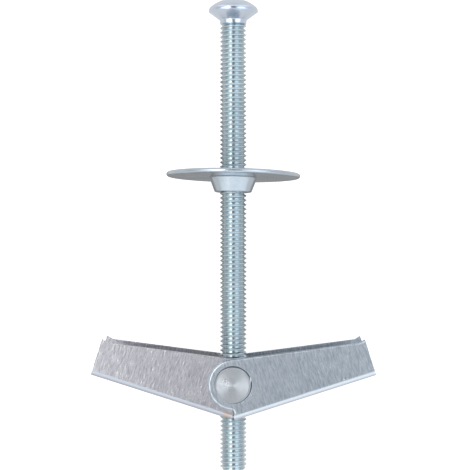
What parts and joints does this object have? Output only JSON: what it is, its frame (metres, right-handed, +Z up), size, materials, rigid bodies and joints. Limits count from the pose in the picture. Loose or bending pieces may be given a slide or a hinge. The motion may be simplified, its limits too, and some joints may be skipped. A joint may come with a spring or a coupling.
{
  "type": "spring toggle bolt",
  "caption": "Zinc-plated machine screw with a loose collared washer and a spring toggle of two folded-sheet wings on a barrel nut, for hollow walls and ceilings.",
  "frame": {"origin": "middle of the model's box, on the floor that the bolt lies on", "axes": "+Y along the screw toward its head, +Z up, so that the near side of the toggle faces up"},
  "size_m": [0.0632, 0.1048, 0.0298],
  "materials": {
    "plated_screw": "zinc plate, blue passivated",
    "plated_washer": "zinc plate, pressed sheet",
    "turned_nut": "turned and zinc plated",
    "wing_sheet_left": "galvanised sheet, folded",
    "wing_sheet_right": "galvanised sheet, folded",
    "spring_wire": "drawn spring steel wire"
  },
  "bodies": {
    "washer": {"washer": "plated_washer"},
    "screw": {"screw": "plated_screw"},
    "barrel_nut": {"barrel_nut": "turned_nut", "spring": "spring_wire"},
    "wing_left": {"wing_left": "wing_sheet_left"},
    "wing_right": {"wing_right": "wing_sheet_right"}
  },
  "joints": [
    {"name": "screw_turn", "type": "hinge", "parent": "washer", "child": "screw", "pos_m": [0, -0.03244, 0.00773], "axis": [0, -0.9879, -0.1551], "range_deg": [-4680, 3600]},
    {"name": "toggle_travel", "type": "slide", "parent": "washer", "child": "barrel_nut", "axis": [0, 0.9879, 0.1551], "range_m": [-0.013, 0.01]},
    {"name": "wing_left_fold", "type": "hinge", "parent": "barrel_nut", "child": "wing_left", "pos_m": [0, -0.03244, 0.00773], "axis": [0.0501, 0.1549, -0.9867], "range_deg": [0, 72.3], "stiffness_Nm_per_rad": 0.015, "springref_deg": -57.3, "deforming": ["spring"]},
    {"name": "wing_right_fold", "type": "hinge", "parent": "barrel_nut", "child": "wing_right", "pos_m": [0, -0.03244, 0.00773], "axis": [-0.0501, -0.1549, 0.9867], "range_deg": [0, 72.3], "stiffness_Nm_per_rad": 0.015, "springref_deg": -57.3, "deforming": ["spring"]}
  ],
  "couplings": [
    {"joint": "screw_turn", "follows": "toggle_travel", "rad_per_m": 6283.2}
  ]
}
